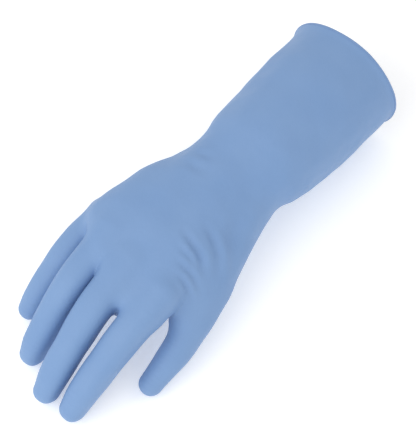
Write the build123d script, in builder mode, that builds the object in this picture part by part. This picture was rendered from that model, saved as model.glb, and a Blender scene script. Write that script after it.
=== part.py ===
"""A household rubber glove for the right hand, palm down, in the shape it takes on a hand.

A dipped glove is one film of rubber. It is modelled here as the zones that bend against
each other: the gauntlet with its rolled bead, the hand, and three zones to a finger and two
to the thumb. Each zone is a hollow shell. At a knuckle the outer zone starts as a ball that
is nested inside the end of the inner zone, with a small gap all round, so the two turn
without touching. The inner zone's end is mitred back on the palm side to leave room.

Frame, in millimetres: the origin is the centre of the cuff's mouth, -Y runs from the mouth
to the fingertips, +Z is the back of the hand, and +X is the thumb's side.
"""
from build123d import *
import os
from math import asin, copysign, cos, degrees, radians, sin

os.makedirs("parts", exist_ok=True)

# ---- the film ----
FILM = 0.6  # thickness of the rubber
GAP = 0.3  # clearance between nested shells at a knuckle
EDGE_MARGIN = 3.0  # degrees by which every mitred edge clears the moving shell

# ---- the cuff ----
MOUTH_RADIUS = 39.5  # inside radius of the mouth
MOUTH_DEPTH = 10.0  # the straight round stretch behind the mouth
BEAD_RADIUS = 1.2  # section radius of the rolled bead

# ---- outer sections of the gauntlet and the hand ----
# distance from the mouth, centre x and z, half width to the thumb and to the little finger,
# half height up and down, and squareness: 2 is an ellipse, and more is squarer
GAUNTLET_SECTIONS = (
    (30.0, -1.0, 1.0, 41.0, 40.5, 39.5, 39.5, 2.0),
    (60.0, -3.0, 1.5, 41.5, 39.0, 37.0, 37.0, 2.0),
    (85.0, -6.0, 3.0, 38.0, 36.0, 32.0, 32.0, 2.0),
)
HAND_SECTIONS = (
    (120.0, -12.0, 5.5, 30.0, 33.0, 22.0, 23.0, 2.2),
    (145.0, -18.0, 7.0, 33.0, 37.0, 19.5, 20.0, 2.4),
    (170.0, -25.0, 8.0, 39.0, 37.0, 17.0, 17.0, 2.5),
    (195.0, -29.0, 6.0, 45.0, 36.0, 14.5, 14.0, 2.5),
    (215.0, -31.0, 3.0, 46.0, 36.0, 13.0, 12.5, 2.5),
    (240.0, -33.0, -3.0, 44.0, 36.0, 11.0, 11.0, 2.5),
)
SECTION_POINTS = 24  # points on each section's closed curve

# ---- the wrist: its zone is a spheroid, round about the hinge ----
WRIST = Vector(-10.3, -108.0, 4.3)
WRIST_HALF_WIDTH = 32.0
WRIST_HALF_HEIGHT = 24.6
WRIST_RANGE = (-20.0, 30.0)

# ---- the web line where the fingers part, from the thumb's side to the little finger's ----
WEB_LINE = ((40.0, -200.0), (17.0, -222.0), (-9.0, -226.0), (-33.0, -217.0), (-54.0, -200.0), (-90.0, -174.0))

# ---- fingers: the buried start of the finger in the hand (x, y, z, radius), its root, then for
# each zone its pitch below the horizontal and its length. The outside radii are at the root, the
# knuckle, the middle joint, the tip joint and the centre of the round fingertip. ----
FINGERS = {
    "index": dict(
        start=(4.0, -174.0, 11.0, 8.0),
        root=(6.0, -202.0, 7.0),
        tip_x=-2.7,
        pitch=(14.0, 26.0, 34.0, 44.0),
        length=(33.0, 22.0, 22.0, 12.0),
        radius=(12.0, 11.2, 10.6, 9.8, 8.9),
    ),
    "middle": dict(
        start=(-21.0, -170.0, 12.0, 8.0),
        root=(-22.0, -198.0, 9.0),
        tip_x=-21.9,
        pitch=(10.5, 26.5, 36.0, 46.0),
        length=(35.0, 23.0, 23.0, 13.0),
        radius=(12.2, 11.4, 10.7, 9.9, 8.9),
    ),
    "ring": dict(
        start=(-40.5, -160.0, 12.0, 7.0),
        root=(-43.4, -188.8, 9.2),
        tip_x=-44.8,
        pitch=(12.0, 30.0, 41.0, 52.0),
        length=(35.0, 21.5, 22.0, 12.0),
        radius=(11.6, 10.9, 10.3, 9.6, 8.7),
    ),
    "little": dict(
        start=(-46.0, -150.0, 4.0, 7.0),
        root=(-62.6, -177.0, -0.5),
        tip_x=-66.5,
        pitch=(11.0, 29.0, 38.0, 46.0),
        length=(29.0, 18.5, 18.0, 10.5),
        radius=(10.2, 9.6, 9.1, 8.6, 7.9),
    ),
}
KNUCKLE_RANGE = (-10.0, 40.0)
MIDDLE_RANGE = (-5.0, 55.0)
TIP_RANGE = (-5.0, 35.0)

# ---- thumb: stations inside the hand, then its two joints and its tip, each x, y, z, radius ----
THUMB_ROOT = ((3.0, -104.0, 1.0, 13.0), (17.0, -150.0, -7.0, 14.8), (22.5, -178.0, -12.0, 13.0))
THUMB_JOINTS = ((27.3, -206.0, -18.6, 10.8), (28.0, -222.0, -24.6, 9.6), (27.5, -236.5, -32.0, 8.4))
THUMB_BASE_RANGE = (-10.0, 25.0)
THUMB_TIP_RANGE = (-5.0, 40.0)


def section_curve(centre_x, centre_z, thumb_side, little_side, up, down, squareness):
    """Points of a closed squared ellipse, in the plane of the section."""
    points = []
    for step in range(SECTION_POINTS):
        angle = radians(360 * step / SECTION_POINTS)
        across = copysign(abs(cos(angle)) ** (2 / squareness), cos(angle))
        high = copysign(abs(sin(angle)) ** (2 / squareness), sin(angle))
        half_width = thumb_side if across > 0 else little_side
        half_height = up if high > 0 else down
        points.append((centre_x + across * half_width, centre_z + high * half_height))
    return points


def draw_section(section, inset):
    """Sketch one section across the glove, drawn in by the inset."""
    distance, centre_x, centre_z, *halves, squareness = section
    thumb_side, little_side, up, down = [half - inset for half in halves]
    # this plane's own x is the frame's X, and its y is the frame's Z
    with BuildSketch(Plane(origin=(0, -distance, 0), x_dir=(1, 0, 0), z_dir=(0, -1, 0))) as sketch:
        if squareness == 2 and thumb_side == little_side == up == down:
            with Locations((centre_x, centre_z)):
                Circle(up)
        elif squareness == 2 and thumb_side == little_side and up == down:
            with Locations((centre_x, centre_z)):
                Ellipse(thumb_side, up)
        else:
            with BuildLine():
                curve = section_curve(centre_x, centre_z, thumb_side, little_side, up, down, squareness)
                Spline(*curve, periodic=True)
            make_face()
    return sketch.sketch


def wrist_section(extra):
    """The wrist's section as a table row, larger all round by extra."""
    wide = WRIST_HALF_WIDTH + extra
    high = WRIST_HALF_HEIGHT + extra
    return (-WRIST.Y, WRIST.X, WRIST.Z, wide, wide, high, high, 2.0)


def limb(stations, inset):
    """A solid through circles at the stations x, y, z, radius, square to the run between them."""
    centres = [Vector(*station[:3]) for station in stations]
    with BuildPart() as solid:
        for index, station in enumerate(stations):
            before = centres[max(index - 1, 0)]
            after = centres[min(index + 1, len(centres) - 1)]
            with BuildSketch(Plane(origin=centres[index], x_dir=(1, 0, 0), z_dir=after - before)):
                Circle(station[3] - inset)
        loft()
    return solid.part


def joint_frame(start, end):
    """The run's direction, the direction of its back, and the direction of its side."""
    along = (end - start).normalized()
    back = along.cross(Vector(1, 0, 0)).normalized()
    side = back.cross(along)
    return along, back, side


def bend_between(start, middle, end):
    """The angle, in degrees, by which the second run is bent down from the first."""
    first = (middle - start).normalized()
    second = (end - middle).normalized()
    return degrees(asin(first.cross(second).X))


def mitre_plane(start, joint, radius, bend, joint_range):
    """The plane that ends a zone at its joint, clear of the next zone's tube through the range."""
    along, back, side = joint_frame(start, joint)
    palm_angle = radians(bend + joint_range[1] + EDGE_MARGIN)
    back_angle = radians(max(-joint_range[0] - bend, 0) + EDGE_MARGIN)
    palm_edge = joint - along * (radius * sin(palm_angle)) - back * (radius * cos(palm_angle))
    back_edge = joint - along * (radius * sin(back_angle)) + back * (radius * cos(back_angle))
    slope = (back_edge - palm_edge).normalized()
    return Plane(origin=palm_edge, x_dir=side, z_dir=side.cross(slope))


def phalanx(start, end, radius, end_radius, bend, joint_range, closed):
    """One zone of a finger: a ball nested in the zone before it, then a tapered tube.

    The radii are those of the outside at the two joints. A closed zone ends in a round
    fingertip, and an open one in the socket of the next joint.
    """
    along, back, _ = joint_frame(start, end)
    length = (end - start).length
    ball = radius - FILM - GAP
    reach = bend + joint_range[1] + max(-joint_range[0] - bend, 0) + 2 * EDGE_MARGIN
    with BuildPart() as zone:
        # in this sketch x is out from the axis and y is along it
        with BuildSketch(Plane(origin=start, x_dir=back, z_dir=back.cross(along))):
            with BuildLine():
                ball_outer = CenterArc((0, 0), ball, -reach, reach)
                ball_inner = CenterArc((0, 0), ball - FILM, -reach, reach)
                Line(ball_outer @ 0, ball_inner @ 0)
                Line(ball_outer @ 1, (end_radius, length))
                Line(ball_inner @ 1, (end_radius - FILM, length))
                if closed:
                    tip_outer = CenterArc((0, length), end_radius, 0, 90)
                    tip_inner = CenterArc((0, length), end_radius - FILM, 0, 90)
                    Line(tip_outer @ 1, tip_inner @ 1)
                else:
                    Line((end_radius, length), (end_radius - FILM, length))
            make_face()
        revolve(axis=Axis(start, along))
    return zone.part


def finger_joints(finger):
    """The knuckle, middle joint, tip joint and tip centre of a finger, after its root."""
    x, y, z = finger["root"]
    total = sum(finger["length"])
    run = 0.0
    points = [Vector(x, y, z)]
    for pitch, length in zip(finger["pitch"], finger["length"]):
        run += length
        y -= length * cos(radians(pitch))
        z -= length * sin(radians(pitch))
        points.append(Vector(x + (finger["tip_x"] - x) * run / total, y, z))
    return points


def station(point, radius):
    """A limb station at the point."""
    return (point.X, point.Y, point.Z, radius)


def save(part, name):
    """Label a finished piece and write its file."""
    part.label = name
    export_step(part, f"parts/{name}.step")


# ---- gauntlet: the loose sleeve from the mouth to the wrist ----
def gauntlet_solid(inset):
    """The gauntlet's outer form, or its hollow when drawn in by the film's thickness."""
    mouth = MOUTH_RADIUS + FILM
    mouth_end = (MOUTH_DEPTH, 0.0, 0.0, mouth, mouth, mouth, mouth, 2.0)
    with BuildPart() as solid:
        with BuildSketch(Plane.XZ.offset(0)):
            Circle(mouth - inset)
        extrude(amount=MOUTH_DEPTH)
        for section in (mouth_end, *GAUNTLET_SECTIONS, wrist_section(GAP + FILM)):
            add(draw_section(section, inset))
        loft()
    return solid.part


with BuildPart() as gauntlet:
    add(gauntlet_solid(0))
    add(gauntlet_solid(FILM), mode=Mode.SUBTRACT)
    split(
        bisect_by=mitre_plane(WRIST + Vector(0, 50, 0), WRIST, WRIST_HALF_HEIGHT, 0, WRIST_RANGE),
        keep=Keep.BOTTOM,
    )
save(gauntlet.part, "gauntlet")

# ---- bead: the film's edge rolled over outside the mouth ----
with BuildPart() as cuff_bead:
    with BuildSketch(Plane.XY):
        with Locations((MOUTH_RADIUS + BEAD_RADIUS, -BEAD_RADIUS)):
            Circle(BEAD_RADIUS)
        with Locations((MOUTH_RADIUS, -BEAD_RADIUS)):
            Rectangle(2 * FILM, 3 * BEAD_RADIUS, mode=Mode.SUBTRACT)
    revolve(axis=Axis.Y)
save(cuff_bead.part, "cuff_bead")


# ---- hand: the film over the palm and the back of the hand, with a socket for each finger ----
def wrist_ball(inset):
    """The half spheroid about the wrist hinge, on the gauntlet's side of the wrist's section."""
    with BuildPart() as solid:
        with BuildSketch(Plane(origin=WRIST, x_dir=(1, 0, 0), z_dir=(0, -1, 0))):
            Ellipse(WRIST_HALF_WIDTH - inset, WRIST_HALF_HEIGHT - inset)
            Rectangle(
                2 * WRIST_HALF_WIDTH,
                WRIST_HALF_HEIGHT,
                align=(Align.CENTER, Align.MIN),
                mode=Mode.INTERSECT,
            )
        revolve(axis=Axis(WRIST, (-1, 0, 0)), revolution_arc=180)
    return solid.part


def palm_solid(inset):
    """The hand's outer form up to the web line, or its hollow when drawn in."""
    with BuildPart() as solid:
        for section in (wrist_section(0), *HAND_SECTIONS):
            add(draw_section(section, inset))
        loft()
        with BuildSketch(Plane.XY.offset(-60)):
            with BuildLine():
                Polyline(*[(x, y + inset) for x, y in WEB_LINE], (-90.0, -100.0), (40.0, -100.0), close=True)
            make_face()
        extrude(amount=120, mode=Mode.INTERSECT)
    return solid.part


def knuckle_stub(finger, inset):
    """The finger's root in the hand, from its buried start to its knuckle."""
    root, knuckle, middle = finger_joints(finger)[:3]
    radius = finger["radius"]
    # a station half way keeps the last stretch straight, so the ball sits in the middle of its socket
    half_way = station((root + knuckle) * 0.5, (radius[0] + radius[1]) / 2)
    stations = (finger["start"], station(root, radius[0]), half_way, station(knuckle, radius[1]))
    solid = limb(stations, inset)
    if inset:
        return solid
    bend = bend_between(root, knuckle, middle)
    cut = mitre_plane(root, knuckle, radius[1], bend, KNUCKLE_RANGE)
    with BuildPart() as mitred:
        add(solid)
        split(bisect_by=cut, keep=Keep.BOTTOM)
    return mitred.part


def thumb_stub(inset):
    """The ball of the thumb and its root, from the wrist to its first joint."""
    x, y, z, radius = THUMB_JOINTS[0]
    joint = Vector(x, y, z)
    solid = limb((*THUMB_ROOT, THUMB_JOINTS[0]), inset)
    if inset:
        return solid
    last_root = Vector(*THUMB_ROOT[-1][:3])
    bend = bend_between(last_root, joint, Vector(*THUMB_JOINTS[1][:3]))
    with BuildPart() as mitred:
        add(solid)
        split(bisect_by=mitre_plane(last_root, joint, radius, bend, THUMB_BASE_RANGE), keep=Keep.BOTTOM)
    return mitred.part


ball_reach = radians(WRIST_RANGE[1] - WRIST_RANGE[0] + 2 * EDGE_MARGIN)
ball_end = Plane(origin=WRIST + Vector(0, WRIST_HALF_HEIGHT * sin(ball_reach), 0), z_dir=(0, 1, 0))

def hand_solid(inset):
    """The hand with its wrist ball and its five stubs, whole, or its hollow when drawn in."""
    with BuildPart() as solid:
        add(palm_solid(inset))
        add(wrist_ball(inset))
        add(thumb_stub(inset))
        for finger in FINGERS.values():
            add(knuckle_stub(finger, inset))
    return solid.part


with BuildPart() as hand:
    add(hand_solid(0))
    add(hand_solid(FILM), mode=Mode.SUBTRACT)
    split(bisect_by=ball_end, keep=Keep.BOTTOM)
save(hand.part, "hand")

# ---- fingers: base, middle and tip zones ----
for finger_name, finger in FINGERS.items():
    root, knuckle, middle, tip, end = finger_joints(finger)
    radius = finger["radius"]
    zones = (
        ("base", root, knuckle, middle, radius[1], radius[2], KNUCKLE_RANGE),
        ("middle", knuckle, middle, tip, radius[2], radius[3], MIDDLE_RANGE),
        ("tip", middle, tip, end, radius[3], radius[4], TIP_RANGE),
    )
    bends = [bend_between(before, start, stop) for _, before, start, stop, _, _, _ in zones]
    for place, (zone_name, before, start, stop, start_radius, stop_radius, joint_range) in enumerate(zones):
        closed = zone_name == "tip"
        with BuildPart() as zone:
            add(phalanx(start, stop, start_radius, stop_radius, bends[place], joint_range, closed))
            if not closed:
                next_range = zones[place + 1][-1]
                cut = mitre_plane(start, stop, stop_radius, bends[place + 1], next_range)
                split(bisect_by=cut, keep=Keep.BOTTOM)
        save(zone.part, f"{finger_name}_{zone_name}")

# ---- thumb: base and tip zones ----
thumb_points = [Vector(*THUMB_ROOT[-1][:3])] + [Vector(*joint[:3]) for joint in THUMB_JOINTS]
thumb_radius = [joint[3] for joint in THUMB_JOINTS]
base_bend = bend_between(*thumb_points[:3])
tip_bend = bend_between(*thumb_points[1:])

with BuildPart() as thumb_base:
    add(phalanx(*thumb_points[1:3], *thumb_radius[:2], base_bend, THUMB_BASE_RANGE, closed=False))
    split(
        bisect_by=mitre_plane(*thumb_points[1:3], thumb_radius[1], tip_bend, THUMB_TIP_RANGE),
        keep=Keep.BOTTOM,
    )
save(thumb_base.part, "thumb_base")

with BuildPart() as thumb_tip:
    add(phalanx(*thumb_points[2:], *thumb_radius[1:], tip_bend, THUMB_TIP_RANGE, closed=True))
save(thumb_tip.part, "thumb_tip")

# the joints' places, in millimetres, for the record
for finger_name, finger in FINGERS.items():
    for joint_name, point in zip(("knuckle", "middle", "tip"), finger_joints(finger)[1:4]):
        print(f"{finger_name} {joint_name}: {point.X:.3f} {point.Y:.3f} {point.Z:.3f}")
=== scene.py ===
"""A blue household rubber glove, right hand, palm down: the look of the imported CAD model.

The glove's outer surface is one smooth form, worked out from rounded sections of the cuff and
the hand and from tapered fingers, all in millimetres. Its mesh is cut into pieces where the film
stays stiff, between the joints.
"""
import math

import bmesh
import bpy
import numpy as np
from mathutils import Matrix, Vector


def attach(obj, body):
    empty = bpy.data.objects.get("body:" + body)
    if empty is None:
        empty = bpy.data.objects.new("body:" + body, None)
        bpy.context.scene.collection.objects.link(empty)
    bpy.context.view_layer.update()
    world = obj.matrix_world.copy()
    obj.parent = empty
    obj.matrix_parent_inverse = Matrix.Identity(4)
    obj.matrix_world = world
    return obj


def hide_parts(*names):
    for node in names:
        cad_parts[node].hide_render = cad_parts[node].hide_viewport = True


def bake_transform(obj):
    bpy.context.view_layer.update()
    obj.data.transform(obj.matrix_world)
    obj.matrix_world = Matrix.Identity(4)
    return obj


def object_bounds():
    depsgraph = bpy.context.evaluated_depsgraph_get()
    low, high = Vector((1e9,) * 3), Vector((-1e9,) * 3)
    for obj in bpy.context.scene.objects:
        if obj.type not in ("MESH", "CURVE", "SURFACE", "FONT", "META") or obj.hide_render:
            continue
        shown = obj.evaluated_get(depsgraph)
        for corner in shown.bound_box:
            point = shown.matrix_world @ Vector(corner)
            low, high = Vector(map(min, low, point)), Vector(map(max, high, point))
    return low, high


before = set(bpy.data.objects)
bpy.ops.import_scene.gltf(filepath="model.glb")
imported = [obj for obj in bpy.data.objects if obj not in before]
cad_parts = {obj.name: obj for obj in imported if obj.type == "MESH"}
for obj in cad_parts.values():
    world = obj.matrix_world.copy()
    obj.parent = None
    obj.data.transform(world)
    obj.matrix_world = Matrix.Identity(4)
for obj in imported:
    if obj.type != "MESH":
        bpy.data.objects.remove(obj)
cad_low, cad_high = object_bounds()

MM = 0.001
FILM = 0.6  # thickness of the rubber
MESH_STEP = 1.25  # spacing of the surface's points
MESH_LOW = np.array([-82.0, -296.0, -46.0])  # the box that the surface is looked for in
MESH_HIGH = np.array([46.0, 5.0, 46.0])
MESH_CHUNK = 300000  # how many points are worked out at once, to spare memory
MOUTH_RADIUS = 39.5  # inside the film
rng = np.random.default_rng(7)

# the cuff and the hand, section by section: distance from the mouth, centre x and z, half width
# to the thumb and to the little finger, half height up and down, squareness (2 is an ellipse,
# more is squarer)
SECTIONS = np.array([
    (0.0, 0.0, 0.0, 40.1, 40.1, 40.1, 40.1, 2.0),
    (8.0, 0.0, 0.0, 40.1, 40.1, 40.1, 40.1, 2.0),
    (30.0, -1.0, 1.0, 39.2, 41.0, 39.5, 39.5, 2.0),
    (60.0, -3.0, 1.5, 38.7, 39.9, 37.0, 37.0, 2.0),
    (85.0, -6.0, 3.0, 37.8, 36.4, 32.0, 32.0, 2.1),
    (95.0, -7.8, 3.6, 37.4, 33.8, 28.2, 28.2, 2.15),
    (102.0, -9.1, 4.1, 35.2, 32.7, 25.7, 25.8, 2.2),
    (110.0, -10.4, 4.7, 31.2, 32.9, 23.6, 24.2, 2.25),
    (120.0, -12.0, 5.5, 27.5, 34.4, 22.0, 23.0, 2.3),
    (145.0, -18.0, 7.0, 31.5, 38.8, 19.5, 20.0, 2.4),
    (170.0, -25.0, 8.0, 39.0, 38.2, 17.0, 17.0, 2.5),
    (195.0, -29.0, 6.0, 45.0, 34.4, 14.5, 14.0, 2.5),
    (215.0, -31.0, 3.0, 46.0, 33.0, 13.0, 12.5, 2.5),
    (245.0, -33.0, -4.0, 44.0, 36.0, 11.0, 11.0, 2.5),
])
# where the fingers part: x and y from the little finger's side to the thumb's
WEB_LINE = np.array([
    (-85.0, -179.0), (-54.5, -196.0), (-33.0, -213.0),
    (-9.0, -224.5), (20.0, -222.0), (36.0, -216.0),
])

# fingers: root, x at the tip, then the pitch down and the length of the root and of each zone, and
# the radii where they meet; the crotch is how far along the finger the web ends
FINGERS = {
    "index": dict(
        root=(6.8, -202.0, 7.0), tip_x=-1.8, pitch=(14.0, 26.0, 34.0, 44.0),
        length=(33.0, 22.0, 22.0, 12.4), radius=(11.9, 11.2, 10.6, 9.7, 8.3),
        crotch=27.5, squareness=2.5,
    ),
    "middle": dict(
        root=(-22.0, -198.0, 9.0), tip_x=-21.9, pitch=(10.5, 26.5, 36.0, 46.0),
        length=(35.0, 23.0, 23.0, 13.4), radius=(11.8, 11.3, 10.7, 9.8, 8.4),
        crotch=30.5, squareness=2.5,
    ),
    "ring": dict(
        root=(-43.4, -188.8, 9.2), tip_x=-45.6, pitch=(12.0, 30.0, 41.0, 52.0),
        length=(35.0, 21.5, 22.0, 12.0), radius=(11.2, 10.8, 10.3, 9.5, 8.2),
        crotch=31.0, squareness=2.5,
    ),
    "little": dict(
        root=(-60.8, -177.0, -0.5), tip_x=-66.6, pitch=(11.0, 29.0, 38.0, 46.0),
        length=(29.0, 18.5, 18.0, 9.6), radius=(9.0, 9.5, 9.1, 8.5, 7.5),
        crotch=25.5, squareness=2.3,
    ),
}
# thumb: stations from the heel of the hand to the tip, each x, y, z, radius
THUMB = np.array([
    (9.5, -121.0, -2.5, 14.7),
    (15.8, -150.0, -7.0, 14.3),
    (22.5, -178.0, -12.0, 13.0),
    (26.6, -200.0, -17.0, 11.3),
    (27.8, -215.0, -21.6, 10.0),
    (25.8, -238.4, -32.8, 7.6),
])
# the web of skin between the thumb and the index finger: stations as the thumb's
WEB = np.array([
    (8.0, -160.0, 2.0, 12.0),
    (13.5, -183.0, -2.5, 9.0),
    (17.2, -197.5, -7.5, 5.2),
])

FINGER_WIDTH = 0.95  # a finger's width over its height
FINGER_BLEND = 6.0  # how widely a finger's root melts into the hand
WEB_BLEND = 10.0
THUMB_BLEND = 15.0
EDGE_BLEND = 10.0  # rounding of the web's edge


# ---- curves through stations ----
def smooth_line(stations, values, samples):
    """A smooth curve through the values, which doesn't overshoot them, read at the samples."""
    run = np.diff(stations)
    rise = np.diff(values) / run
    slope = np.zeros(len(stations))
    slope[0], slope[-1] = rise[0], rise[-1]
    for index in range(1, len(stations) - 1):
        before, after = rise[index - 1], rise[index]
        if before * after > 0:
            weight_before = 2 * run[index] + run[index - 1]
            weight_after = run[index] + 2 * run[index - 1]
            total = weight_before + weight_after
            slope[index] = total / (weight_before / before + weight_after / after)
    place = np.clip(np.searchsorted(stations, samples, side="right") - 1, 0, len(run) - 1)
    t = (samples - stations[place]) / run[place]
    return (
        (1 + 2 * t) * (1 - t) ** 2 * values[place]
        + t * (1 - t) ** 2 * run[place] * slope[place]
        + t * t * (3 - 2 * t) * values[place + 1]
        + t * t * (t - 1) * run[place] * slope[place + 1]
    )


TABLE_STEP = 0.5
SECTION_AT = np.arange(0.0, SECTIONS[-1, 0] + TABLE_STEP, TABLE_STEP)
SECTION_TABLE = [
    smooth_line(SECTIONS[:, 0], SECTIONS[:, column], SECTION_AT)
    for column in range(1, SECTIONS.shape[1])
]
WEB_AT = np.arange(WEB_LINE[0, 0], WEB_LINE[-1, 0], TABLE_STEP)
WEB_TABLE = smooth_line(WEB_LINE[:, 0], WEB_LINE[:, 1], WEB_AT)


def smooth_path(points, radii, step=3.0):
    """The points of a smooth path, with its radii, about a step apart."""
    reach = np.concatenate([[0], np.cumsum(np.linalg.norm(np.diff(points, axis=0), axis=1))])
    samples = np.linspace(0, reach[-1], int(reach[-1] / step) + 1)
    columns = [smooth_line(reach, points[:, axis], samples) for axis in range(3)]
    return np.column_stack(columns), smooth_line(reach, np.asarray(radii, float), samples)


def finger_spine(finger):
    """The finger's root, three joints and tip centre."""
    x, y, z = finger["root"]
    total = sum(finger["length"])
    run = 0.0
    points = [(x, y, z)]
    for pitch, length in zip(finger["pitch"], finger["length"]):
        run += length
        y -= length * math.cos(math.radians(pitch))
        z -= length * math.sin(math.radians(pitch))
        points.append((x + (finger["tip_x"] - x) * run / total, y, z))
    return np.array(points)


# ---- the outer surface: a function that is negative inside it, in millimetres ----
def smooth_min(a, b, width):
    """The smaller of two distances, rounded off where they are within the width."""
    share = np.clip(0.5 + 0.5 * (b - a) / width, 0, 1)
    return b * (1 - share) + a * share - width * share * (1 - share)


def tapered_tube(points, path, radii, width=1.0, squareness=2.0, reach=34.0):
    """Distance to a smooth tapered tube with round ends, and no more than the reach.

    A width under 1 narrows it across X, and a squareness over 2 gives it fuller corners.
    """
    distance = np.full(len(points), reach)
    near = np.all((points > path.min(0) - reach) & (points < path.max(0) + reach), axis=1)
    close = points[near]
    middle = np.interp(-close[:, 1], -path[:, 1], path[:, 0])
    close[:, 0] = middle + (close[:, 0] - middle) / width
    best = np.full(len(close), reach)
    for start, end, start_radius, end_radius in zip(path, path[1:], radii, radii[1:]):
        run = end - start
        length = np.linalg.norm(run)
        along = run / length
        lean = (start_radius - end_radius) / length
        offset = close - start
        t = offset @ along
        out = np.linalg.norm(offset - np.outer(t, along), axis=1)
        share = np.clip((t + out * lean / math.sqrt(1 - lean * lean)) / length, 0, 1)
        offset -= np.outer(share * length, along)
        if squareness == 2:
            gap = np.linalg.norm(offset, axis=1)
        else:
            up = np.cross((1.0, 0.0, 0.0), along)
            up /= np.linalg.norm(up)
            across, height = np.abs(offset @ np.cross(along, up)), np.abs(offset @ up)
            rim = (across**squareness + height**squareness) ** (1 / squareness)
            gap = np.hypot(rim, offset @ along)
        best = np.minimum(best, gap - start_radius - (end_radius - start_radius) * share)
    distance[near] = best
    return distance


def hand_body(points):
    """Distance to the cuff and hand, without fingers, rounded off at the web line."""
    along = np.clip(-points[:, 1], 0, SECTIONS[-1, 0])
    centre_x, centre_z, thumb_side, little_side, up, down, squareness = [
        np.interp(along, SECTION_AT, column) for column in SECTION_TABLE
    ]
    x = points[:, 0] - centre_x
    z = points[:, 2] - centre_z
    half_width = np.where(x > 0, thumb_side, little_side)
    half_height = np.where(z > 0, up, down)
    ratio = np.abs(x / half_width) ** squareness + np.abs(z / half_height) ** squareness
    ratio = np.maximum(ratio ** (1 / squareness), 1e-6)
    body = np.maximum(np.hypot(x, z) * (1 - 1 / ratio), -np.minimum(half_width, half_height))
    edge = np.interp(points[:, 0], WEB_AT, WEB_TABLE) - points[:, 1]
    return -smooth_min(-body, -edge, EDGE_BLEND)


FINGER_PATHS = {
    name: smooth_path(finger_spine(finger), finger["radius"]) for name, finger in FINGERS.items()
}
THUMB_PATH = smooth_path(THUMB[:, :3], THUMB[:, 3])
WEB_PATH = smooth_path(WEB[:, :3], WEB[:, 3])


def limb_distance(name, points):
    """Distance to a finger's or the thumb's own form."""
    if name == "thumb":
        return tapered_tube(points, *THUMB_PATH)
    return tapered_tube(points, *FINGER_PATHS[name], FINGER_WIDTH, FINGERS[name]["squareness"])


def surface(points):
    """Negative inside the glove's outer surface, positive outside."""
    body = smooth_min(hand_body(points), tapered_tube(points, *WEB_PATH), WEB_BLEND)
    joined = body.copy()
    for name in FINGERS:
        joined = np.minimum(joined, smooth_min(body, limb_distance(name, points), FINGER_BLEND))
    thumb = smooth_min(body, limb_distance("thumb", points), THUMB_BLEND)
    return np.minimum(joined, thumb)


def slope_of(points, step=0.25):
    """The surface function's slope, by differences."""
    slope = np.empty_like(points)
    for axis in range(3):
        shift = np.zeros(3)
        shift[axis] = step
        slope[:, axis] = (surface(points + shift) - surface(points - shift)) / (2 * step)
    return slope


# ---- meshing: one point in each cell that the surface crosses, joined into quads ----
def grid_mesh(low, high, step):
    """The points and the quads of the surface inside a box."""
    axes = [np.arange(low[axis], high[axis] + step, step) for axis in range(3)]
    grid = np.stack(np.meshgrid(*axes, indexing="ij"), -1)
    shape = grid.shape[:3]
    flat = grid.reshape(-1, 3)
    chunks = np.array_split(flat, max(1, len(flat) // MESH_CHUNK))
    values = np.concatenate([surface(chunk) for chunk in chunks]).reshape(shape)
    inside = values < 0
    cells = [size - 1 for size in shape]
    total = np.zeros((*cells, 3))
    count = np.zeros(cells)
    corners = [(i, j, k) for i in (0, 1) for j in (0, 1) for k in (0, 1)]
    for axis in range(3):
        for corner in corners:
            if corner[axis]:
                continue
            other = tuple(c + (1 if place == axis else 0) for place, c in enumerate(corner))
            first = values[tuple(slice(c, c + size) for c, size in zip(corner, cells))]
            second = values[tuple(slice(c, c + size) for c, size in zip(other, cells))]
            crossed = (first < 0) != (second < 0)
            share = np.where(crossed, first / np.where(crossed, first - second, 1), 0)
            for place in range(3):
                crossing = corner[place] + (other[place] - corner[place]) * share
                total[..., place] += np.where(crossed, crossing, 0)
            count += crossed
    active = count > 0
    number = -np.ones(cells, int)
    number[active] = np.arange(active.sum())
    points = (np.argwhere(active) + total[active] / count[active][:, None]) * step
    points += np.array([line[0] for line in axes])
    quads = []
    for axis in range(3):
        side, up = (axis + 1) % 3, (axis + 2) % 3
        ahead = tuple(slice(1, None) if place == axis else slice(None) for place in range(3))
        behind = tuple(slice(0, -1) if place == axis else slice(None) for place in range(3))
        edges = np.argwhere(inside[behind] != inside[ahead])
        keep = (edges[:, side] > 0) & (edges[:, up] > 0)
        keep &= (edges[:, side] < shape[side] - 1) & (edges[:, up] < shape[up] - 1)
        edges = edges[keep]
        outward = inside[behind][tuple(edges.T)]
        to_side = np.eye(3, dtype=int)[side]
        to_up = np.eye(3, dtype=int)[up]
        ring = [edges - to_side - to_up, edges - to_up, edges, edges - to_side]
        quad = np.stack([number[tuple(cell.T)] for cell in ring], 1)
        quad[~outward] = quad[~outward][:, ::-1]
        quads.append(quad)
    return points, np.concatenate(quads)


def settle(points, quads, rounds=3):
    """Even out the points along the surface, and bring them onto it."""
    edges = np.concatenate([quads[:, [a, (a + 1) % 4]] for a in range(4)])
    for _ in range(rounds):
        total = np.zeros_like(points)
        count = np.zeros(len(points))
        for near, far in ((0, 1), (1, 0)):
            np.add.at(total, edges[:, near], points[edges[:, far]])
            np.add.at(count, edges[:, near], 1)
        points = 0.5 * points + 0.5 * total / np.maximum(count, 1)[:, None]
        for _ in range(2):
            slope = slope_of(points)
            length = np.maximum((slope**2).sum(1), 0.05)
            points = points - slope * np.clip(surface(points) / length, -1, 1)[:, None]
    return points


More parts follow.
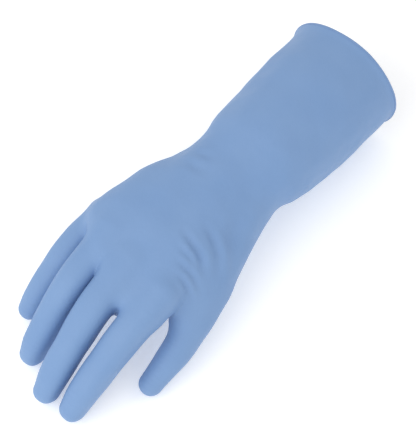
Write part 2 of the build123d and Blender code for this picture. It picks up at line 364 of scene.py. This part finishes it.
# ---- wrinkles: soft grooves pressed into the back of the film, and waves all over it ----
# each groove is a few places on the back of the hand (x, y), its half width and its depth
GROOVES = (
    ([(-3.0, -166.0), (4.5, -168.5), (13.0, -171.0), (17.5, -174.5)], 2.2, 1.3),
    ([(5.5, -154.5), (12.7, -157.0), (20.0, -162.0), (24.3, -168.0)], 2.6, 1.3),
    ([(5.0, -183.0), (12.0, -182.5), (22.0, -184.5)], 2.1, 1.1),
    ([(10.0, -188.0), (15.5, -189.5), (21.0, -192.0)], 1.9, 0.9),
    ([(15.0, -132.0), (19.5, -144.0), (26.0, -157.0)], 3.8, 1.1),
    ([(0.5, -176.0), (7.0, -176.0), (14.0, -178.5)], 1.8, 0.7),
    ([(-33.0, -119.0), (-27.0, -116.5), (-20.0, -115.5)], 2.8, 0.6),
    ([(-34.0, -125.5), (-26.0, -125.5), (-17.0, -125.0)], 3.0, 0.6),
)
GROOVE_REACH = 30.0  # no groove is felt further than this from its middle
LIP_PLACE, LIP_HEIGHT = 2.0, 0.6  # the raised lip beside a groove, in its half widths and depths
WAVINESS = ((70.0, 0.25), (45.0, 0.2), (30.0, 0.12), (22.0, 0.08))  # wavelengths and heights
WAVES = [
    (rng.normal(size=3) * 2 * math.pi / wavelength, rng.uniform(0, 2 * math.pi), height)
    for wavelength, height in WAVINESS for _ in range(3)
]
WAVES_START, WAVES_GROW = 4.0, 30.0  # the waves start near the mouth and grow over a distance
WAVES_END, WAVES_FADE = 250.0, 60.0  # they fade towards the fingertips in the same way
FINGER_WAVES = 0.35  # the share of their height that is left there


def wrinkle_height(points, facing_up):
    """How far the film stands out from its smooth form, in millimetres."""
    height = np.zeros(len(points))
    for wave, phase, size in WAVES:
        height += size * np.sin(points @ wave + phase)
    # the round mouth stays true, and the slim fingers are stretched smoother than the hand
    from_mouth = -points[:, 1]
    grown = np.clip((from_mouth - WAVES_START) / WAVES_GROW, 0, 1)
    height *= grown * np.clip((WAVES_END - from_mouth) / WAVES_FADE, FINGER_WAVES, 1)
    for groove, half_width, depth in GROOVES:
        stations = np.column_stack([groove, np.zeros(len(groove))])
        path, share = smooth_path(stations, np.linspace(0, 1, len(stations)), 1.5)
        near = np.flatnonzero(facing_up > 0)
        from_middle = np.linalg.norm(points[near, :2] - path[:, :2].mean(0), axis=1)
        near = near[from_middle < GROOVE_REACH]
        gap = np.linalg.norm(points[near, None, :2] - path[None, :, :2], axis=2)
        nearest = gap.argmin(1)
        across = gap[np.arange(len(near)), nearest] / half_width
        # the groove is deepest midway and shallow at its ends, and fades where the film turns down
        fade = np.sin(math.pi * (0.08 + 0.84 * share[nearest])) * np.clip(2 * facing_up[near], 0, 1)
        lip = LIP_HEIGHT * np.exp(-((across - LIP_PLACE) ** 2))
        height[near] += depth * fade * (lip - np.exp(-(across**2)))
    return height


MOUTH_REACH = 24.0  # how far from the mouth its uneven edge is felt
MOUTH_SLANT = -0.055  # the edge's slope across X: it is nearer the hand on the thumb's side
MOUTH_WAVES = ((2, 0.6, 0.45), (5, 2.0, 0.2))  # waves round the edge: how many, phase, height
FLARE, FLARE_REACH = 0.028, 3.0  # the mouth's widening, and how far from the bead it is felt


def shape_mouth(points):
    """The film's mouth, flared a little to its bead and not quite flat, as soft rubber lies."""
    shaped = points.copy()
    x, y, z = points.T
    turn = np.arctan2(z, x)
    flare = 1 + FLARE * np.exp(-((y / FLARE_REACH) ** 2))
    shaped[:, 0] *= flare
    shaped[:, 2] *= flare
    lift = MOUTH_SLANT * x
    for waves, phase, height in MOUTH_WAVES:
        lift += height * np.sin(waves * turn + phase)
    shaped[:, 1] += np.clip(1 + y / MOUTH_REACH, 0, 1) ** 2 * lift
    return shaped


# ---- the cuts, each in a stretch that stays stiff, and the bends between them ----
def spine_point(finger, reach):
    """The place and direction at a reach along a finger's spine."""
    spine = finger_spine(finger)
    ends = np.concatenate([[0], np.cumsum(finger["length"])])
    zone = min(int(np.searchsorted(ends, reach, side="right")) - 1, len(spine) - 2)
    along = (spine[zone + 1] - spine[zone]) / (ends[zone + 1] - ends[zone])
    return spine[zone] + along * (reach - ends[zone]), along


# BENDS: the two bodies that a piece bends between, and the two ends of the bend
# CUTS: a place in the cut, its direction, and its limb, or None where it goes all round the glove
# SEEDS: a place on or inside each piece; the nearest face is one of the piece's own
BENDS = {"hand": ("cuff", "hand", (np.array([-8.0, -91.0, 4.0]), np.array([-12.0, -125.0, 4.5])))}
CUTS = [(np.array([0.0, -88.0, 0.0]), np.array([0.0, -1.0, 0.0]), None)]
SEEDS = {"gauntlet": np.array([-2.0, -40.0, 40.0]), "hand": np.array([-18.0, -150.0, 26.0])}
MIDDLE_BEND, TIP_BEND = 7.5, 6.5  # how far a finger's bend reaches to each side of its joint
ROOT_BEND_START = 0.5  # how far past its cut a root's bend starts
ROOT_BEND_MARGIN = 2.5  # and how far before a finger's next cut it ends
for name, finger in FINGERS.items():
    knuckle, middle, tip = np.cumsum(finger["length"])[:3]
    crotch = finger["crotch"]
    base_cut = 0.5 * (knuckle + middle) - 1
    middle_cut = 0.5 * (middle + tip)
    root_bend = (crotch + ROOT_BEND_START, base_cut - ROOT_BEND_MARGIN)
    # each zone: the body before it, then its bend, its cut and a place inside it along the spine
    zones = (
        ("base", "hand", root_bend, crotch, 0.5 * (knuckle + base_cut)),
        ("middle", f"{name}_base", (middle - MIDDLE_BEND, middle + MIDDLE_BEND), base_cut, middle),
        ("tip", f"{name}_middle", (tip - TIP_BEND, tip + TIP_BEND), middle_cut, tip + 4),
    )
    for zone, inner_body, bend, cut, inside in zones:
        piece = f"{name}_{zone}"
        BENDS[piece] = (inner_body, piece, [spine_point(finger, reach)[0] for reach in bend])
        CUTS.append((*spine_point(finger, cut), name))
        SEEDS[piece] = spine_point(finger, inside)[0]
# the thumb's cuts run at a slant: piece, the body before it, a place in the cut and its direction,
# where the bend after it ends, and the distance from the mouth of a place inside the piece
for piece, inner_body, cut, along, bend_end, inside in (
    ("thumb_base", "hand", (27.0, -200.2, -17.0), (0.41, -0.85, -0.33), 8.5, 208.0),
    ("thumb_tip", "thumb_base", (27.5, -215.3, -21.8), (0.22, -0.90, -0.37), 12.5, 226.0),
):
    cut = np.array(cut)
    along = np.array(along) / np.linalg.norm(along)
    BENDS[piece] = (inner_body, piece, (cut + ROOT_BEND_START * along, cut + bend_end * along))
    CUTS.append((cut, along, "thumb"))
    SEEDS[piece] = np.array([np.interp(inside, -THUMB[:, 1], THUMB[:, axis]) for axis in range(3)])

LIMBS = [*FINGERS, "thumb"]
CUT_REACH = 24.0  # a limb is cut only this far round its cut's place
CUT_SNAP = 0.02  # a point this close to a cut counts as on it


def cut_mesh(points, quads):
    """The glove's outer mesh, open at the mouth and marked with a seam along every cut."""
    bm = bmesh.new()
    verts = [bm.verts.new(point) for point in points]
    for quad in quads:
        bm.faces.new([verts[index] for index in quad])
    everything = bm.verts[:] + bm.edges[:] + bm.faces[:]
    bmesh.ops.bisect_plane(
        bm, geom=everything, dist=CUT_SNAP, plane_co=(0, 0, 0), plane_no=(0, 1, 0), clear_outer=True
    )
    for place, along, limb in CUTS:
        faces = bm.faces[:]
        if limb:
            middle = Vector(place)
            faces = [f for f in faces if (f.calc_center_median() - middle).length < CUT_REACH]
            centres = np.array([face.calc_center_median() for face in faces])
            nearest = np.array([limb_distance(name, centres) for name in LIMBS]).argmin(0)
            faces = [face for face, own in zip(faces, nearest) if LIMBS[own] == limb]
        geom = {element for face in faces for element in (face, *face.edges, *face.verts)}
        made = bmesh.ops.bisect_plane(
            bm, geom=list(geom), dist=CUT_SNAP, plane_co=place, plane_no=along
        )
        for element in made["geom_cut"]:
            if isinstance(element, bmesh.types.BMEdge):
                element.seam = True
    return bm


def patch_of(bm, seed, done):
    """The faces round the one nearest to the seed, up to the seams."""
    free = [face for face in bm.faces if face.index not in done]
    first = min(free, key=lambda face: (face.calc_center_median() - Vector(seed)).length)
    patch = {first}
    waiting = [first]
    while waiting:
        for edge in waiting.pop().edges:
            if edge.seam:
                continue
            for face in edge.link_faces:
                if face not in patch:
                    patch.add(face)
                    waiting.append(face)
    done.update(face.index for face in patch)
    return patch


def film_piece(name, faces, places, normals):
    """A closed shell of film: the outer faces, the inner ones, and a rim along each cut edge."""
    used = sorted({vert.index for face in faces for vert in face.verts})
    local = {index: place for place, index in enumerate(used)}
    count = len(used)
    outer = places[used]
    inner = outer - normals[used] * FILM
    loops = [[local[vert.index] for vert in face.verts] for face in faces]
    polygons = loops + [[index + count for index in reversed(loop)] for loop in loops]
    sides = dict.fromkeys(side for loop in loops for side in zip(loop, loop[1:] + loop[:1]))
    rims = [(near, far) for near, far in sides if (far, near) not in sides]
    polygons += [[far, near, near + count, far + count] for near, far in rims]
    mesh = bpy.data.meshes.new(name)
    mesh.from_pydata(np.concatenate([outer, inner]) * MM, [], polygons)
    mesh.update()
    shell_normals = np.concatenate([normals[used], -normals[used]])
    corner_normals = []
    shell_faces = 2 * len(loops)
    for polygon in mesh.polygons:
        if polygon.index < shell_faces:
            corner_normals.extend(shell_normals[vertex] for vertex in polygon.vertices)
        else:
            corner_normals.extend([np.array(polygon.normal)] * len(polygon.vertices))
    mesh.shade_smooth()
    mesh.normals_split_custom_set([tuple(normal) for normal in corner_normals])
    piece = bpy.data.objects.new(name, mesh)
    bpy.context.collection.objects.link(piece)
    return piece


def vertex_normals(places, faces):
    """Smooth normals of the whole outer surface, so that they agree across the cuts."""
    normals = np.zeros_like(places)
    for face in faces:
        ring = [vert.index for vert in face.verts]
        corner = places[ring]
        area = np.zeros(3)
        for near, far in zip(corner, np.roll(corner, -1, axis=0)):
            area += np.cross(near, far)
        normals[ring] += area
    return normals / np.maximum(np.linalg.norm(normals, axis=1), 1e-9)[:, None]


# ---- materials ----
def rubber(name, colour, deep_colour, roughness):
    """Matte dipped rubber: faint clouds in the colour, a fine grain, and a soft uneven gloss."""
    material = bpy.data.materials.new(name)
    material.use_nodes = True
    nodes, links = material.node_tree.nodes, material.node_tree.links
    shader = nodes["Principled BSDF"]
    shader.inputs["Specular IOR Level"].default_value = 0.35
    place = nodes.new("ShaderNodeTexCoord").outputs["Object"]

    def noise(scale, detail, rough=0.5):
        node = nodes.new("ShaderNodeTexNoise")
        node.inputs["Scale"].default_value = scale
        node.inputs["Detail"].default_value = detail
        node.inputs["Roughness"].default_value = rough
        links.new(place, node.inputs["Vector"])
        return node.outputs["Fac"]

    def spread(value, low, high):
        """The middle of a noise's range, spread over a range of its own."""
        node = nodes.new("ShaderNodeMapRange")
        limits = {"From Min": 0.3, "From Max": 0.7, "To Min": low, "To Max": high}
        for socket, number in limits.items():
            node.inputs[socket].default_value = number
        links.new(value, node.inputs["Value"])
        return node.outputs["Result"]

    def bump(height, strength, distance, below=None):
        node = nodes.new("ShaderNodeBump")
        node.inputs["Strength"].default_value = strength
        node.inputs["Distance"].default_value = distance
        links.new(height, node.inputs["Height"])
        if below is not None:
            links.new(below, node.inputs["Normal"])
        return node.outputs["Normal"]

    mix = nodes.new("ShaderNodeMix")
    mix.data_type = "RGBA"
    mix.inputs["A"].default_value = (*colour, 1)
    mix.inputs["B"].default_value = (*deep_colour, 1)
    clouds = spread(noise(scale=26, detail=4), 0.0, 1.0)
    links.new(clouds, mix.inputs["Factor"])
    links.new(mix.outputs["Result"], shader.inputs["Base Color"])
    gloss = spread(noise(scale=60, detail=5), roughness - 0.06, roughness + 0.07)
    links.new(gloss, shader.inputs["Roughness"])

    grain = bump(noise(scale=1400, detail=3), strength=0.25, distance=0.0002)
    waviness = noise(scale=170, detail=4, rough=0.6)
    ripple = bump(waviness, strength=0.35, distance=0.0008, below=grain)
    links.new(ripple, shader.inputs["Normal"])
    return material


BLUE = (0.202, 0.330, 0.564)
DEEP_BLUE = (0.184, 0.311, 0.548)
BEAD_BLUE = (0.190, 0.305, 0.530)
DEEP_BEAD_BLUE = (0.175, 0.290, 0.515)
film_material = rubber("blue_rubber", BLUE, DEEP_BLUE, 0.55)
bead_material = rubber("blue_rubber_bead", BEAD_BLUE, DEEP_BEAD_BLUE, 0.5)

# ---- the film ----
points, quads = grid_mesh(MESH_LOW, MESH_HIGH, MESH_STEP)
points = settle(points, quads)
bm = cut_mesh(points, quads)
bm.verts.index_update()
bm.faces.index_update()
places = np.array([vert.co for vert in bm.verts])
slope = slope_of(places)
slope /= np.maximum(np.linalg.norm(slope, axis=1), 1e-9)[:, None]
places = shape_mouth(places + slope * wrinkle_height(places, slope[:, 2])[:, None])
normals = vertex_normals(places, bm.faces)

# the fingers' pieces come first, so that the two large ones choose from the faces left over
done = set()
for name in sorted(SEEDS, key=lambda piece: piece in ("gauntlet", "hand")):
    faces = patch_of(bm, SEEDS[name], done)
    piece = film_piece(f"{name}_film", sorted(faces, key=lambda face: face.index), places, normals)
    piece.data.materials.append(film_material)
    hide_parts(name)
    if name in BENDS:
        inner_body, outer_body, (start, end) = BENDS[name]
        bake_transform(piece)
    else:
        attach(piece, "cuff")
bm.free()


# ---- the bead: the film rolled over on itself round the mouth ----
BEAD_RADIUS = 0.8
BEAD_SWELLS = ((3, 0.05), (7, 0.03), (16, 0.02))  # unevenness: how many round the mouth, and height
BEAD_INSET, BEAD_SETBACK = 0.3, 0.2  # its centre, in from the film's outer face and its edge
BEAD_STEPS, BEAD_CORNERS = 260, 12  # round the mouth, and round the roll


def bead():
    """A thin roll round the mouth, a little uneven, as a rolled edge is."""
    turn = np.linspace(0, 2 * math.pi, BEAD_STEPS, endpoint=False)
    outward = np.column_stack([np.cos(turn), np.zeros(BEAD_STEPS), np.sin(turn)])
    rim = shape_mouth(outward * (MOUTH_RADIUS + FILM))
    rim[:, 1] -= BEAD_SETBACK
    swell = sum(
        size * np.sin(count * turn + rng.uniform(0, 2 * math.pi)) for count, size in BEAD_SWELLS
    )
    verts = []
    for place, direction, grow in zip(rim, outward, swell):
        radius = BEAD_RADIUS + grow
        for corner in range(BEAD_CORNERS):
            angle = 2 * math.pi * corner / BEAD_CORNERS
            out, along = radius * math.cos(angle) - BEAD_INSET, radius * math.sin(angle)
            verts.append(place + direction * out + [0, along, 0])
    faces = []
    for step in range(BEAD_STEPS):
        start, ahead = step * BEAD_CORNERS, (step + 1) % BEAD_STEPS * BEAD_CORNERS
        for corner in range(BEAD_CORNERS):
            beside = (corner + 1) % BEAD_CORNERS
            faces.append((start + corner, start + beside, ahead + beside, ahead + corner))
    mesh = bpy.data.meshes.new("cuff_bead_roll")
    mesh.from_pydata(np.array(verts) * MM, [], faces)
    mesh.shade_smooth()
    mesh.materials.append(bead_material)
    roll = bpy.data.objects.new("cuff_bead_roll", mesh)
    bpy.context.collection.objects.link(roll)
    return roll


bead_roll = bead()
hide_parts("cuff_bead")
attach(bead_roll, "cuff")


# ---- the floor, the lights and the camera, in metres ----
WHITE = (1.0, 1.0, 1.0, 1.0)
FLOOR_REACH = 6.0
FLOOR_GAP = 0.0004  # the floor is this far below the lowest point of the CAD
FLOOR_GREY = (0.9, 0.9, 0.9, 1.0)
FLOOR_GLOW = 0.3  # keeps the floor pale, as in a picture taken on white
WORLD_STRENGTH = 0.82

floor_mesh = bpy.data.meshes.new("floor")
floor_mesh.from_pydata(
    [
        (x * FLOOR_REACH, y * FLOOR_REACH, cad_low.z - FLOOR_GAP)
        for x, y in ((-1, -1), (1, -1), (1, 1), (-1, 1))
    ],
    [], [(0, 1, 2, 3)],
)
floor_material = bpy.data.materials.new("pale_floor")
floor_material.use_nodes = True
floor_shader = floor_material.node_tree.nodes["Principled BSDF"]
floor_shader.inputs["Base Color"].default_value = FLOOR_GREY
floor_shader.inputs["Roughness"].default_value = 0.8
floor_shader.inputs["Emission Color"].default_value = WHITE
floor_shader.inputs["Emission Strength"].default_value = FLOOR_GLOW
floor_mesh.materials.append(floor_material)
floor = bpy.data.objects.new("floor", floor_mesh)
bpy.context.collection.objects.link(floor)

world = bpy.data.worlds.new("studio")
world.use_nodes = True
sky = world.node_tree.nodes["Background"]
sky.inputs["Color"].default_value = WHITE
sky.inputs["Strength"].default_value = WORLD_STRENGTH
bpy.context.scene.world = world


def direction_to(azimuth, elevation):
    """The direction from the glove to an azimuth and elevation, both in degrees."""
    a, e = math.radians(azimuth), math.radians(elevation)
    return Vector((math.sin(a) * math.cos(e), -math.cos(a) * math.cos(e), math.sin(e)))


def soft_light(name, target, azimuth, elevation, distance, size, power):
    """A square light that faces the target from the azimuth and elevation."""
    back = direction_to(azimuth, elevation)
    data = bpy.data.lights.new(name, "AREA")
    data.size = size
    data.energy = power
    light = bpy.data.objects.new(name, data)
    light.location = target + back * distance
    light.rotation_euler = back.to_track_quat("Z", "Y").to_euler()
    bpy.context.collection.objects.link(light)


FINGERS_PLACE = Vector((-0.03, -0.24, 0.0))
GLOVE_CENTRE = (cad_low + cad_high) / 2
soft_light("key", FINGERS_PLACE, azimuth=-15, elevation=50, distance=0.7, size=0.7, power=2.2)
soft_light("fill", GLOVE_CENTRE, azimuth=110, elevation=40, distance=1.8, size=1.6, power=1.5)

# the photograph's view, from a distance with a long lens
VIEW_AZIMUTH, VIEW_ELEVATION, VIEW_DISTANCE = 37, 60.5, 1.45
VIEW_TARGET = Vector((-0.0028, -0.1426, 0.0043))
VIEW_LENS = 190.5
camera_data = bpy.data.cameras.new("camera")
camera_data.lens = VIEW_LENS
camera_data.clip_start, camera_data.clip_end = 0.01, 100
camera = bpy.data.objects.new("camera", camera_data)
view_back = direction_to(VIEW_AZIMUTH, VIEW_ELEVATION)
camera.location = VIEW_TARGET + view_back * VIEW_DISTANCE
camera.rotation_euler = (-view_back).to_track_quat("-Z", "Y").to_euler()
bpy.context.collection.objects.link(camera)
bpy.context.scene.camera = camera
bpy.context.scene.view_settings.view_transform = "Standard"
